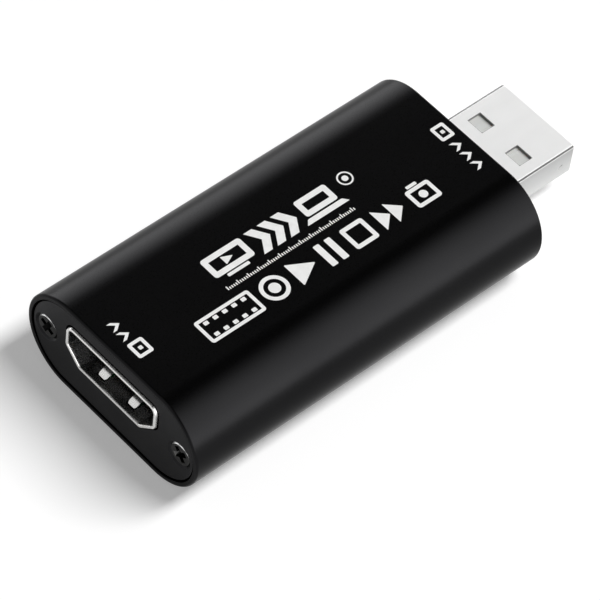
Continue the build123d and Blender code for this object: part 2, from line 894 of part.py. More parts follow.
for name, shape in nodes.items():
    export_step(shape, f"parts/{name}.step")
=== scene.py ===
import math

import bmesh
import bpy
from mathutils import Matrix, Vector


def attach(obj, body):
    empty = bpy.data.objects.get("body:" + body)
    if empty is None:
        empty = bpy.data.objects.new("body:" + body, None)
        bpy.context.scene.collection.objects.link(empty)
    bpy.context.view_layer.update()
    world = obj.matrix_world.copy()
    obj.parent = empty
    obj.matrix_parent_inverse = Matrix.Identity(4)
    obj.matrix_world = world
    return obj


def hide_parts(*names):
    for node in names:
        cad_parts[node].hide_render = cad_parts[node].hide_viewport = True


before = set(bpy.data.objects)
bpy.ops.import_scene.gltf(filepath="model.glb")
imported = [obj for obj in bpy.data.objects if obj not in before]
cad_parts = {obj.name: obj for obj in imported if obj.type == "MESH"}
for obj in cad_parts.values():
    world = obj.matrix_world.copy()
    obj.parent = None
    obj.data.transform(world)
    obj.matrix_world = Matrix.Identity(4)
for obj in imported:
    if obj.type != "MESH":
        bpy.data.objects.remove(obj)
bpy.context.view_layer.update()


# Tube housing
# The body is one length of flat-oval aluminium extrusion, bead blasted and anodised satin black.
# Its bore is milled wider at each end to seat a plate inside a thin lip, and two screw channels and
# two board ledges run along its inside, drawn with it.

# Sizes are in millimetres from the frame's origin, and MM brings them into the frame's metres.
MM = 0.001
tube_end = 25.6
tube_lip_depth = 1.65
tube_seat = tube_end - tube_lip_depth
tube_radius = 6.5
tube_wall, tube_lip_wall = 1.2, 0.65
tube_bore_radius = tube_radius - tube_wall
tube_lip_radius = tube_radius - tube_lip_wall
tube_half_flat = 7.5
tube_middle = tube_radius
tube_end_rounding = 0.3
tube_lip_break = 0.08
tube_support = 0.15
tube_turn_steps = 48
screw_side = 11.0
channel_outer = 1.75
channel_bore = 1.05
web_start = 1.6
web_in_wall = 0.3
web_half_height = 0.8
ledge_inner, ledge_outer = 8.43, 9.93
ledge_in_wall = 0.4
ledge_low, ledge_high = tube_wall - ledge_in_wall, 4.0


def add_node(tree, kind, values=(), **settings):
    """Adds a shader node. A value that is another node's socket is linked, and any other is set."""
    made = tree.nodes.new("ShaderNode" + kind)
    for name, setting in settings.items():
        setattr(made, name, setting)
    for name, value in dict(values).items():
        if isinstance(value, bpy.types.NodeSocket):
            tree.links.new(value, made.inputs[name])
        else:
            made.inputs[name].default_value = value
    return made


def grain(tree, size, stretch=(1, 1, 1), detail=3, roughness=0.55):
    """Noise in the object's own space, with features of about that size in millimetres."""
    place = add_node(tree, "TexCoord").outputs["Object"]
    place = add_node(tree, "Mapping", {"Vector": place, "Scale": stretch}).outputs["Vector"]
    noise = add_node(tree, "TexNoise", {
        "Vector": place, "Scale": 1 / (size * MM), "Detail": detail, "Roughness": roughness,
    })
    return noise.outputs["Fac"]


def spread(tree, factor, low, high, from_low=0.3, from_high=0.7, **settings):
    """Spreads a range of a factor over low to high. It is a noise's middle range by default."""
    return add_node(tree, "MapRange", {
        "Value": factor, "From Min": from_low, "From Max": from_high, "To Min": low, "To Max": high,
    }, **settings).outputs["Result"]


def two_tone(tree, factor, low, high):
    """Mixes two colours by a factor."""
    return add_node(tree, "Mix", {
        0: factor, 6: (*low, 1), 7: (*high, 1),
    }, data_type="RGBA").outputs[2]


def finish(name, low, high, patch, rough, fine, bump, stretch=(1, 1, 1), **constants):
    """A surface finish whose colour drifts in patches, with a fine grain in gloss and relief."""
    material = bpy.data.materials.new(name)
    material.use_nodes = True
    tree = material.node_tree
    shader = tree.nodes["Principled BSDF"]
    for socket, value in constants.items():
        shader.inputs[socket.replace("_", " ")].default_value = value
    broad = grain(tree, patch, stretch)
    close = grain(tree, fine, stretch, detail=4)
    colour = two_tone(tree, spread(tree, broad, 0, 1), low, high)
    tree.links.new(colour, shader.inputs["Base Color"])
    tree.links.new(spread(tree, close, *rough), shader.inputs["Roughness"])
    relief = add_node(tree, "Bump", {"Height": close, "Distance": bump * MM, "Strength": 0.6})
    tree.links.new(relief.outputs["Normal"], shader.inputs["Normal"])
    return material


def link(name, data):
    """An object in the scene that holds a mesh, a lamp or a camera."""
    made = bpy.data.objects.new(name, data)
    bpy.context.scene.collection.objects.link(made)
    return made


def settled(obj):
    """The mesh of an object with its modifiers applied."""
    graph = bpy.context.evaluated_depsgraph_get()
    return bpy.data.meshes.new_from_object(obj.evaluated_get(graph))


def drawn(bm):
    """A mesh made from a finished bmesh."""
    mesh = bpy.data.meshes.new("drawn")
    bmesh.ops.recalc_face_normals(bm, faces=bm.faces)
    bm.to_mesh(mesh)
    bm.free()
    return mesh


def piece(name, bm, material, body, nodes=(), edge=0.0, sharp=32):
    """Finishes a piece drawn in millimetres: rounds its edges, dresses it and gives it a body."""
    made = link(name, drawn(bm))
    made.data.shade_smooth()
    made.data.set_sharp_from_angle(angle=math.radians(sharp))
    if edge:
        rounding = made.modifiers.new("rounding", "BEVEL")
        rounding.width = edge
        rounding.segments = 2
        rounding.limit_method = "ANGLE"
        rounding.angle_limit = math.radians(sharp)
        rounding.harden_normals = True
    weighing = made.modifiers.new("weighing", "WEIGHTED_NORMAL")
    weighing.keep_sharp = True
    mesh = settled(made)
    mesh.transform(Matrix.Scale(MM, 4))
    made.modifiers.clear()
    made.data = mesh
    made.data.name = name
    made.data.materials.clear()
    made.data.materials.append(material)
    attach(made, body)
    if nodes:
        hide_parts(*nodes)


def of_kind(parts, kind):
    """The parts of one kind, such as the edges, from what an operator gives back."""
    return [part for part in parts if isinstance(part, kind)]


def eased(bm, parts, affect, reach, segments):
    """Rounds corners or edges by reach."""
    bmesh.ops.bevel(
        bm, geom=list(parts), affect=affect, offset=reach, segments=segments, profile=0.5,
        material=-1,
    )


def box(bm, corner, opposite):
    """A block between two opposite corners."""
    middle = (Vector(corner) + Vector(opposite)) / 2
    size = [abs(span) for span in Vector(opposite) - Vector(corner)]
    place = Matrix.Translation(middle) @ Matrix.Diagonal((*size, 1))
    return bmesh.ops.create_cube(bm, size=1, matrix=place)["verts"]


def round_bar(profile, place, segments=48):
    """A turned shape from its profile of radius and height, about its own Z."""
    bm = bmesh.new()
    line = [bm.verts.new((radius, 0, height)) for radius, height in profile]
    edges = [bm.edges.new(pair) for pair in zip(line, line[1:])]
    bmesh.ops.spin(
        bm, geom=line + edges, cent=(0, 0, 0), axis=(0, 0, 1), angle=math.tau, steps=segments,
        use_merge=True,
    )
    bmesh.ops.remove_doubles(bm, verts=bm.verts, dist=0.0005)
    bmesh.ops.transform(bm, matrix=place, verts=bm.verts)
    return bm


def facing(x, y, z, side):
    """A place whose own +Z points along +X for side 1 and along -X for side -1."""
    return Matrix.Translation((x, y, z)) @ Matrix.Rotation(side * math.radians(90), 4, "Y")


def sweep_round_oval(bm, edges):
    """Sweeps a section that stands at the flat's -Y end once round the flat oval."""
    for side in (1, -1):
        for step in (tube_support, 2 * tube_half_flat - 2 * tube_support, tube_support):
            grown = bmesh.ops.extrude_edge_only(bm, edges=edges)["geom"]
            moved = of_kind(grown, bmesh.types.BMVert)
            bmesh.ops.translate(bm, verts=moved, vec=(0, side * step, 0))
            edges = of_kind(grown, bmesh.types.BMEdge)
        centre = (0, side * tube_half_flat, tube_middle)
        turned = bmesh.ops.spin(
            bm, geom=edges, cent=centre, axis=(1, 0, 0), angle=-math.pi, steps=tube_turn_steps
        )["geom_last"]
        edges = of_kind(turned, bmesh.types.BMEdge)


housing = bmesh.new()
section = (
    (-tube_end, tube_radius), (tube_end, tube_radius), (tube_end, tube_lip_radius),
    (tube_seat, tube_lip_radius), (tube_seat, tube_bore_radius),
    (-tube_seat, tube_bore_radius), (-tube_seat, tube_lip_radius), (-tube_end, tube_lip_radius),
)
corners = [housing.verts.new((x, -tube_half_flat, tube_middle + radius)) for x, radius in section]
housing.faces.new(corners)
eased(housing, corners[:2], "VERTICES", tube_end_rounding, 6)
eased(housing, (corners[2], corners[7]), "VERTICES", tube_lip_break, 6)
bmesh.ops.delete(housing, geom=housing.faces[:], context="FACES_ONLY")
sweep_round_oval(housing, housing.edges[:])
bmesh.ops.remove_doubles(housing, verts=housing.verts, dist=0.001)
for side in (-1, 1):
    channel = round_bar((
        (channel_bore, -tube_seat), (channel_outer, -tube_seat), (channel_outer, tube_seat),
        (channel_bore, tube_seat), (channel_bore, -tube_seat),
    ), facing(0, side * screw_side, tube_middle, 1))
    housing.from_mesh(drawn(channel))
    wall = tube_half_flat + tube_bore_radius + web_in_wall
    box(
        housing,
        (-tube_seat, side * (screw_side + web_start), tube_middle - web_half_height),
        (tube_seat, side * wall, tube_middle + web_half_height),
    )
    box(
        housing, (-tube_seat, side * ledge_inner, ledge_low),
        (tube_seat, side * ledge_outer, ledge_high),
    )

black_anodise = finish(
    "black_anodise", (0.0105, 0.0105, 0.011), (0.013, 0.013, 0.0135), patch=9.0,
    rough=(0.26, 0.33), fine=0.06, bump=0.004, stretch=(0.35, 1, 1), Metallic=1.0,
    Specular_Tint=(0.66, 0.66, 0.66, 1),
)
piece("tube_housing", housing, black_anodise, "stick", ["housing"])


# Printed marks
# White ink is pad printed on the tube's flat top after anodising. The marks are plain pictures:
# a screen, arrows and a folding computer in bold, a row of fine ticks, a film strip with player
# signs, and arrows that point into the socket and out of the plug.

tube_top = tube_middle + tube_radius
ink_thickness = 0.012
tick_count, tick_step, tick_width = 62, 0.302, 0.15
tick_tall, tick_short = 0.56, 0.34
player_low, player_height = -5.5, 3.4
player_middle = -3.8
white_ink = finish(
    "white_ink", (0.83, 0.83, 0.82), (0.92, 0.92, 0.91), patch=0.8, rough=(0.5, 0.7), fine=0.1,
    bump=0.003, Specular_IOR_Level=0.3,
)


def drawn_out(bm, faces, step):
    """Makes faces into a solid by drawing them out by a step."""
    grown = bmesh.ops.extrude_face_region(bm, geom=faces)["geom"]
    bmesh.ops.translate(bm, verts=of_kind(grown, bmesh.types.BMVert), vec=step)


def flat_shape(bm, points, corner):
    """A flat face on the tube from its corners in x and y, each rounded by corner."""
    old = set(bm.faces)
    verts = [bm.verts.new((x, y, tube_top)) for x, y in points]
    bm.faces.new(verts)
    if corner:
        eased(bm, verts, "VERTICES", corner, 6)
    return [part for part in bm.faces if part not in old][0]


def mark(bm, points, corner=0.0, inner=None, inner_corner=0.0):
    """One inked shape, filled, or a band between its corners and the inner ones."""
    faces = [flat_shape(bm, points, corner)]
    if inner:
        faces.append(flat_shape(bm, inner, inner_corner))
        loops = [edge for face in faces for edge in face.edges]
        bmesh.ops.delete(bm, geom=faces, context="FACES_ONLY")
        faces = bmesh.ops.bridge_loops(bm, edges=loops)["faces"]
    drawn_out(bm, faces, (0, 0, ink_thickness))


def rectangle(x, y, width, height):
    """A rectangle's corners, from the lowest one."""
    return ((x, y), (x + width, y), (x + width, y + height), (x, y + height))


def panel(bm, x, y, width, height, corner=0.0, line=0.0):
    """A rectangle from its lowest corner, filled or drawn as a line."""
    inner = None
    if line:
        inner = rectangle(x + line, y + line, width - 2 * line, height - 2 * line)
    mark(bm, rectangle(x, y, width, height), corner, inner, max(corner - line, 0.06))


def circle(x, y, radius, sides=40):
    """A circle's points, once round."""
    turns = [index * math.tau / sides for index in range(sides)]
    return [(x + radius * math.cos(turn), y + radius * math.sin(turn)) for turn in turns]


def disc(bm, x, y, radius, line=0.0):
    """A round spot, filled or drawn as a line."""
    mark(bm, circle(x, y, radius), 0, circle(x, y, radius - line) if line else None)


def triangle(bm, x, y, length, half, corner=0.1):
    """A triangle that points along +X."""
    mark(bm, ((x, y - half), (x + length, y), (x, y + half)), corner)


def chevron(bm, x, y, reach, half, thick):
    """An arrow head without a shaft that points along +X."""
    mark(bm, (
        (x, y - half), (x + thick, y - half), (x + reach + thick, y), (x + thick, y + half),
        (x, y + half), (x + reach, y),
    ))


# A screen with a play sign, three arrows, a folding computer and a ring.
bold = bmesh.new()
panel(bold, -10.3, 0.98, 5.7, 2.95, corner=0.4, line=0.72)
panel(bold, -9.0, 0.38, 3.1, 0.42, corner=0.12)
triangle(bold, -8.05, 2.45, 1.35, 0.62)
for step in range(3):
    chevron(bold, -3.9 + step * 1.95, 2.15, 1.15, 1.78, 1.2)
panel(bold, 3.3, 1.38, 4.6, 2.55, corner=0.35, line=0.72)
mark(bold, ((2.5, 0.42), (8.7, 0.42), (8.1, 1.12), (3.1, 1.12)), corner=0.12)
disc(bold, 10.35, 3.05, 0.98, line=0.2)
disc(bold, 10.35, 3.05, 0.4)
piece("print_bold_signs", bold, white_ink, "stick")

# Every fifth tick is a tall one.
ticks = bmesh.new()
for index in range(tick_count):
    tall = tick_short if index % 5 else tick_tall
    panel(ticks, -10.3 + index * tick_step, -1.0, tick_width, tall)
piece("print_tick_row", ticks, white_ink, "stick")

# A film strip, record, play, pause, stop and forward signs, and a camera.
players = bmesh.new()
panel(players, -16.4, player_low, 7.7, player_height, corner=0.35, line=0.42)
for hole_low in (-4.95, -3.15):
    for index in range(5):
        panel(players, -15.5 + index * 1.33, hole_low, 0.62, 0.5, corner=0.1)
disc(players, -6.15, player_middle, 1.75, line=0.5)
disc(players, -6.15, player_middle, 0.72)
triangle(players, -3.35, player_middle, 3.1, 1.75, corner=0.18)
for x in (0.85, 2.45):
    panel(players, x, player_low, 0.85, player_height, corner=0.15)
panel(players, 4.6, -5.45, 3.3, 3.3, corner=0.35, line=0.55)
for x in (9.1, 11.0):
    triangle(players, x, player_middle, 1.75, 1.6, corner=0.12)
panel(players, 14.0, -5.3, 3.5, 2.75, corner=0.4, line=0.5)
disc(players, 15.75, -3.93, 0.55)
panel(players, 14.7, -2.42, 1.5, 0.42, corner=0.12)
piece("print_player_row", players, white_ink, "stick")

# Small arrows and a connector sign at each end.
ends = bmesh.new()
for y in (2.8, 1.2):
    chevron(ends, -23.85, y, 0.8, 0.62, 0.55)
panel(ends, -23.9, -2.25, 2.05, 2.3, corner=0.3, line=0.42)
panel(ends, -23.1, -1.35, 0.5, 0.5, corner=0.1)
for y in (-4.5, -2.8, -1.1):
    chevron(ends, 22.85, y, 0.8, 0.64, 0.55)
panel(ends, 22.65, 0.25, 1.95, 2.3, corner=0.3, line=0.42)
panel(ends, 23.4, 1.15, 0.5, 0.5, corner=0.1)
piece("print_end_arrows", ends, white_ink, "stick")


# End plates
# Each end is closed by a plate punched from 1.5 mm aluminium sheet and anodised satin black.
# It lies in the tube's lip, held by two countersunk screws, round a cutout for the connector.

plate_play = 0.18
plate_radius = tube_lip_radius - plate_play
plate_thickness = 1.5
plate_face = tube_seat + plate_thickness
plate_rim_break = 0.12
plate_hole_radius = 1.1
plate_mouth_radius = 1.72
mouth_break = 0.06
cut_clear = 0.4
cutter_start, cutter_end = 20, 30
oval_segments = 128
socket_side = 0.2
socket_half_roof, socket_half_floor = 7.0, 4.9
socket_height, socket_knee_height = 4.55, 1.9
socket_floor = 5.5
socket_knee = socket_floor + socket_knee_height
socket_roof = socket_floor + socket_height
socket_bend, socket_roof_bend = 0.4, 0.7
socket_opening = 0.65
plug_half_width, plug_half_height = 6.0, 2.25
plug_middle = 4.76
plug_corner = 0.45
plug_opening = 0.2


def cut(bm, *tools):
    """A bmesh with other closed shapes cut out of it."""
    work = link("work", drawn(bm))
    cutters = []
    for tool in tools:
        cutter = link("cutter", drawn(tool))
        step = work.modifiers.new("cut", "BOOLEAN")
        step.operation = "DIFFERENCE"
        step.solver = "EXACT"
        step.object = cutter
        cutters.append(cutter)
    result = bmesh.new()
    result.from_mesh(settled(work))
    for done in (work, *cutters):
        bpy.data.objects.remove(done)
    return result


def oval_slab(radius, low_x, high_x):
    """A flat-oval slab across the tube."""
    bm = bmesh.new()
    half_step = Matrix.Rotation(math.pi / oval_segments, 4, "X")
    upright = Matrix.Rotation(math.radians(90), 4, "Y")
    place = Matrix.Translation((low_x, 0, tube_middle)) @ half_step @ upright
    bmesh.ops.create_circle(bm, cap_ends=True, segments=oval_segments, radius=radius, matrix=place)
    for vert in bm.verts:
        vert.co.y += math.copysign(tube_half_flat, vert.co.y)
    drawn_out(bm, bm.faces[:], (high_x - low_x, 0, 0))
    return bm


def countersink(x, y, side):
    """The shape of a countersunk hole, its mouth on the plate's face."""
    profile = (
        (0, cut_clear), (plate_mouth_radius + mouth_break, cut_clear),
        (plate_mouth_radius + mouth_break, 0), (plate_mouth_radius, -mouth_break),
        (plate_hole_radius, plate_hole_radius - plate_mouth_radius),
        (plate_hole_radius, -2 * plate_thickness), (0, -2 * plate_thickness),
    )
    return round_bar(profile, facing(x, y, tube_middle, side))


def socket_outline(bm, grow, x):
    """The socket's D-shaped outline at x, drawn out by grow from its inside: a rounded face."""
    slant = math.atan2(socket_knee - socket_floor, socket_half_roof - socket_half_floor)
    floor_slide = math.tan(slant / 2)
    knee_slide = math.tan((math.pi / 2 - slant) / 2)
    half = (
        (socket_half_floor + floor_slide * grow, socket_floor - grow),
        (socket_half_roof + grow, socket_knee - knee_slide * grow),
        (socket_half_roof + grow, socket_roof + grow),
    )
    points = [(y, z) for y, z in half] + [(-y, z) for y, z in reversed(half)]
    verts = [bm.verts.new((x, socket_side + y, z)) for y, z in points]
    bm.faces.new(verts)
    eased(bm, (verts[0], verts[5]), "VERTICES", floor_slide * (socket_bend + grow), 8)
    eased(bm, (verts[1], verts[4]), "VERTICES", knee_slide * (socket_bend + grow), 8)
    eased(bm, (verts[2], verts[3]), "VERTICES", socket_roof_bend + grow, 8)


def plug_outline(bm, grow, x):
    """The plug's rounded rectangular outline at x, drawn out by grow: a face."""
    half_width, half_height = plug_half_width + grow, plug_half_height + grow
    points = ((-1, -1), (1, -1), (1, 1), (-1, 1))
    verts = [bm.verts.new((x, y * half_width, plug_middle + z * half_height)) for y, z in points]
    bm.faces.new(verts)
    eased(bm, verts, "VERTICES", plug_corner + grow, 8)


def prism(outline_maker, grow, low_x, high_x):
    """A bar across the tube with the section that outline_maker draws."""
    bm = bmesh.new()
    outline_maker(bm, grow, low_x)
    drawn_out(bm, bm.faces[:], (high_x - low_x, 0, 0))
    return bm


plate_anodise = finish(
    "plate_anodise", (0.016, 0.016, 0.017), (0.021, 0.021, 0.022), patch=3.0, rough=(0.26, 0.36),
    fine=0.05, bump=0.004, Metallic=1.0, Specular_Tint=(0.7, 0.7, 0.7, 1),
)
for plate_name, node, side, outline, opening in (
    ("socket_end_plate", "input_plate", -1, socket_outline, socket_opening),
    ("plug_end_plate", "output_plate", 1, plug_outline, plug_opening),
):
    slab = oval_slab(plate_radius, side * tube_seat, side * plate_face)
    rim = [
        edge for edge in slab.edges
        if all(abs(abs(vert.co.x) - plate_face) < 0.001 for vert in edge.verts)
    ]
    eased(slab, rim, "EDGES", plate_rim_break, 3)
    slab = cut(
        slab, prism(outline, opening, side * cutter_start, side * cutter_end),
        *[countersink(side * plate_face, y, side) for y in (-screw_side, screw_side)],
    )
    piece(plate_name, slab, plate_anodise, "stick", [node], edge=0.05)


# Plate screws
# Four M2 countersunk screws with a cross recess, steel with a black zinc coat, hold the two plates.
# They cut their own thread in the tube's screw channels. A bright bare-metal crescent on the upper
# rim of each head is a painted highlight.

head_sink = 0.1
head_radius = 1.55
head_face_radius = 1.4
head_rim = 0.18
head_depth = 0.62
shank_radius = 1.0
thread_start = 1.0
thread_depth = 0.12
thread_pitch = 0.4
screw_length = 6.0
screw_tip = 0.5
screw_tip_taper = 0.3
recess_half_length, recess_half_width = 1.25, 0.37
recess_depth = 0.95
# Painted highlight: where the bright crescent on each screw head lies, how wide it is, and its
# colour.
glint_aside, glint_below = 0.04, 0.09
glint_start, glint_full = 1.48, 1.5
glint_colour = (0.9, 0.9, 0.9)


def screw_body(place):
    """One screw, its head's face at zero and its shank down -Z."""
    profile = [
        (0, 0), (head_face_radius, 0), (head_face_radius + 0.03, -0.01),
        (head_radius - 0.02, -0.15), (head_radius, -head_rim), (shank_radius, -head_depth),
        (shank_radius, -thread_start),
    ]
    depth = -thread_start
    while depth > screw_tip - screw_length:
        profile += [
            (shank_radius - thread_depth, depth - thread_pitch * 0.35),
            (shank_radius, depth - thread_pitch * 0.8), (shank_radius, depth - thread_pitch),
        ]
        depth -= thread_pitch
    profile += [(shank_radius - screw_tip_taper, -screw_length), (0, -screw_length)]
    return round_bar(profile, place)


def cross_tool(place, turn):
    """The tapered cross that a driver's tip pressed into the head."""
    tools = []
    for angle in (turn, turn + 90):
        bm = bmesh.new()
        verts = box(
            bm, (-recess_half_length, -recess_half_width, -recess_depth),
            (recess_half_length, recess_half_width, cut_clear),
        )
        for vert in verts:
            if vert.co.z < 0:
                vert.co.x *= 0.5
                vert.co.y *= 0.7
        spun = place @ Matrix.Rotation(math.radians(angle), 4, "Z")
        bmesh.ops.transform(bm, matrix=spun, verts=bm.verts)
        tools.append(bm)
    return tools


def sums(tree, operation, first, second):
    """The result of a sum on two values."""
    return add_node(tree, "Math", {0: first, 1: second}, operation=operation).outputs[0]


def spot_in(tree):
    """The shaded spot's X, Y and Z in the object's own space."""
    spot = add_node(tree, "TexCoord").outputs["Object"]
    return add_node(tree, "SeparateXYZ", {0: spot}).outputs


def apart(tree, value, middle):
    """How far a value lies from a middle given in millimetres, to either side."""
    return sums(tree, "ABSOLUTE", sums(tree, "SUBTRACT", value, middle * MM), 0)


def fade(tree, value, start, end, low=0.0, high=1.0):
    """Goes from low to high as a length grows from start to end, both in millimetres."""
    return spread(tree, value, low, high, start * MM, end * MM)


def repaint(material, factor, colour):
    """Lays a second colour over a finish where the factor is one."""
    tree = material.node_tree
    shader = tree.nodes["Principled BSDF"]
    plain = shader.inputs["Base Color"].links[0].from_socket
    over = add_node(tree, "Mix", {0: factor, 6: plain, 7: (*colour, 1)}, data_type="RGBA")
    tree.links.new(over.outputs[2], shader.inputs["Base Color"])


black_zinc = finish(
    "black_zinc", (0.024, 0.024, 0.024), (0.048, 0.047, 0.046), patch=0.9, rough=(0.14, 0.24),
    fine=0.08, bump=0.006, Metallic=1.0, Specular_Tint=(0.7, 0.7, 0.7, 1),
)

# Painted highlight: a bright crescent is painted on each head's upper rim, outside a circle set a
# little low on each head.
tree = black_zinc.node_tree
spot = spot_in(tree)
aside = sums(tree, "SUBTRACT", apart(tree, spot["Y"], -glint_aside), screw_side * MM)
above = sums(tree, "SUBTRACT", spot["Z"], (tube_middle - glint_below) * MM)
offset = add_node(tree, "CombineXYZ", {0: aside, 1: above}).outputs[0]
reach = add_node(tree, "VectorMath", {0: offset}, operation="LENGTH").outputs["Value"]
repaint(black_zinc, fade(tree, reach, glint_start, glint_full), glint_colour)

for screws_name, node, side, turns in (
    ("socket_end_screws", "input_plate_screws", -1, (38, 62)),
    ("plug_end_screws", "output_plate_screws", 1, (20, 75)),
):
    pair = bmesh.new()
    for y, turn in zip((-screw_side, screw_side), turns):
        place = facing(side * (plate_face - head_sink), y, tube_middle, side)
        one = cut(screw_body(place), *cross_tool(place, turn))
        pair.from_mesh(drawn(one))
    piece(screws_name, pair, black_zinc, "stick", [node], edge=0.025, sharp=40)


# Video socket shell
# The shell is 0.3 mm steel sheet, folded to the D section, bright nickel plated and turned out at
# its mouth. Its faces behind the mouth are painted darker as painted shade. Four windows in it
# leave the retention springs free, and four legs pass through the board and are soldered under it.

sheet = 0.3
socket_front = -25.7
socket_back = -13.7
spring_offset = 2.45
spring_sides = (socket_side + spring_offset, socket_side - spring_offset)
floor_sheet = socket_floor - sheet / 2
roof_sheet = socket_roof + sheet / 2
window_front, window_back = socket_front + 0.85, socket_front + 7.05
window_front_half, window_back_half = 0.72, 0.9
window_clear = 0.4
leg_places = (-21.62, -15.14)
leg_half, leg_foot_half = 0.7, 0.45
leg_low, leg_shoulder, leg_high = 3.2, 4.0, 7.5
# Painted shade: how far behind the mouth the shell's faces turn darker, and how dark they get.
inner_shade_start, inner_shade_full = 0.1, 0.3
inner_shade_colour = (0.4, 0.4, 0.4)

# The mouth's skin, as steps out from the socket's inside and back from its front.
socket_mouth = (
    (0, 0.2), (0.02, 0.08), (0.06, 0.01), (0.1, 0), (0.3, 0), (0.36, 0.02), (0.45, 0.24),
    (0.45, 0.34), (0.41, 0.44), (0.34, 0.52), (sheet, 0.65),
)


def bridged(bm, outline_maker, stations):
    """Joins the outlines drawn at each station of grow and x by a skin that closes on itself."""
    loops = []
    for grow, x in stations:
        before = set(bm.faces)
        outline_maker(bm, grow, x)
        face = next(face for face in bm.faces if face not in before)
        loops.append(face.edges[:])
        bmesh.ops.delete(bm, geom=[face], context="FACES_ONLY")
    for first, second in zip(loops, loops[1:] + loops[:1]):
        bmesh.ops.bridge_loops(bm, edges=first + second)


shell = bmesh.new()
mouth = [(grow, socket_front + depth) for grow, depth in socket_mouth]
bridged(shell, socket_outline, ((0, socket_back), *mouth, (sheet, socket_back)))
windows = []
for level in (floor_sheet, roof_sheet):
    for middle in spring_sides:
        bm = bmesh.new()
        verts = box(
            bm, (window_front, middle - 1, level - window_clear),
            (window_back, middle + 1, level + window_clear),
        )
        for vert in verts:
            half = window_front_half if vert.co.x < window_back - 1 else window_back_half
            vert.co.y = middle + math.copysign(half, vert.co.y - middle)
        windows.append(bm)
shell = cut(shell, *windows)
for leg_x in leg_places:
    for side in (1, -1):
        outer = socket_side + side * (socket_half_roof + sheet)
        verts = box(
            shell, (leg_x - leg_half, outer, leg_low),
            (leg_x + leg_half, outer - side * sheet, leg_high),
        )
        for vert in verts:
            if vert.co.z < leg_shoulder:
                vert.co.x = leg_x + math.copysign(leg_foot_half, vert.co.x - leg_x)
bright_nickel = finish(
    "bright_nickel", (0.84, 0.835, 0.82), (0.9, 0.895, 0.88), patch=2.5, rough=(0.2, 0.32),
    fine=0.12, bump=0.003, Metallic=1.0,
)
shell_nickel = bright_nickel.copy()
shell_nickel.name = "shell_nickel"
tree = shell_nickel.node_tree
# Painted shade: the shell's faces behind the mouth are painted darker.
inside = fade(tree, spot_in(tree)["X"], socket_front + inner_shade_start, socket_front + inner_shade_full)
repaint(shell_nickel, inside, inner_shade_colour)
piece("video_socket_shell", shell, shell_nickel, "stick", ["socket_shell"])


# Retention springs
# Four leaf springs are cut from the shell's floor and roof. Each rises to a peak near the mouth,
# where it grips the cable's plug, and dips again to its tip. They are the same nickelled sheet,
# pressed a little thinner.

spring_root = socket_front + 7.0
spring_tip = socket_front + 1.05
spring_root_half, spring_tip_half = 0.8, 0.62
spring_sheet = 0.2
tip_rounding = 0.35
tip_narrowing = 0.45
bend_smoothings = 5

# How far a spring stands off its sheet, from its root over its peak to its tip.
spring_path = (
    (spring_root, 0.0), (socket_front + 2.6, 0.5), (socket_front + 1.85, 0.46), (spring_tip, -0.03),
)


def spring_rise(x):
    """How far a spring stands off its sheet at x."""
    for (near, low), (far, high) in zip(spring_path, spring_path[1:]):
        if x >= far:
            return low + (high - low) * (near - x) / (near - far)
    return spring_path[-1][1]


def mean_height(bm):
    """The mean height of a shape's points."""
    return sum(vert.co.z for vert in bm.verts) / len(bm.verts)


for label, level, direction, middle in (
    ("lower_left", floor_sheet, 1, spring_sides[0]),
    ("lower_right", floor_sheet, 1, spring_sides[1]),
    ("upper_left", roof_sheet, -1, spring_sides[0]),
    ("upper_right", roof_sheet, -1, spring_sides[1]),
):
    leaf = bmesh.new()
    bmesh.ops.create_grid(leaf, x_segments=60, y_segments=4, size=1)
    for vert in leaf.verts:
        along = (vert.co.x + 1) / 2
        x = spring_root + along * (spring_tip - spring_root)
        half = spring_root_half + along * (spring_tip_half - spring_root_half)
        tip = max(0.0, (spring_tip + tip_rounding - x) / tip_rounding)
        half *= math.sqrt(1 - tip_narrowing * tip**2)
        vert.co = (x, middle + vert.co.y * half, level + direction * spring_rise(x))
    for _ in range(bend_smoothings):
        inner = [
            vert for vert in leaf.verts if spring_tip + 0.15 < vert.co.x < spring_root - 0.1
        ]
        bmesh.ops.smooth_vert(leaf, verts=inner, factor=0.5, use_axis_z=True)
    bmesh.ops.recalc_face_normals(leaf, faces=leaf.faces)
    sheet_height = mean_height(leaf)
    bmesh.ops.solidify(leaf, geom=leaf.faces[:], thickness=spring_sheet)
    centring = (0, 0, sheet_height - mean_height(leaf))
    bmesh.ops.translate(leaf, verts=leaf.verts, vec=centring)
    piece(
        "retention_spring_" + label, leaf, bright_nickel, label + "_spring",
        ["socket_spring_" + label], edge=0.03, sharp=50,
    )


# Video socket insulator
# A black moulded block fills the shell's back and carries the flat tongue with its two rows of
# grooves for the contacts. It is pushed into the shell from behind.

block_front = -16.7
block_play = 0.05
tongue_front = socket_front + 2.6
tongue_half = 5.25
tongue_middle, tongue_thickness = 7.975, 1.6
tongue_low = tongue_middle - tongue_thickness / 2
tongue_high = tongue_middle + tongue_thickness / 2
tongue_nose = 0.25
fine_groove_front, fine_groove_back = tongue_front + 0.35, block_front + 0.05
fine_groove_half, fine_groove_depth = 0.18, 0.12
moulded_black = finish(
    "moulded_black", (0.012, 0.012, 0.012), (0.02, 0.02, 0.02), patch=1.5, rough=(0.42, 0.56),
    fine=0.08, bump=0.006,
)
block = prism(socket_outline, -block_play, block_front, socket_back)
tongue = bmesh.new()
box(
    tongue, (tongue_front, socket_side - tongue_half, tongue_low),
    (block_front + 0.1, socket_side + tongue_half, tongue_high),
)
nose = [
    edge for edge in tongue.edges if all(vert.co.x < tongue_front + 0.1 for vert in edge.verts)
]
eased(tongue, nose, "EDGES", tongue_nose, 3)
grooves = []
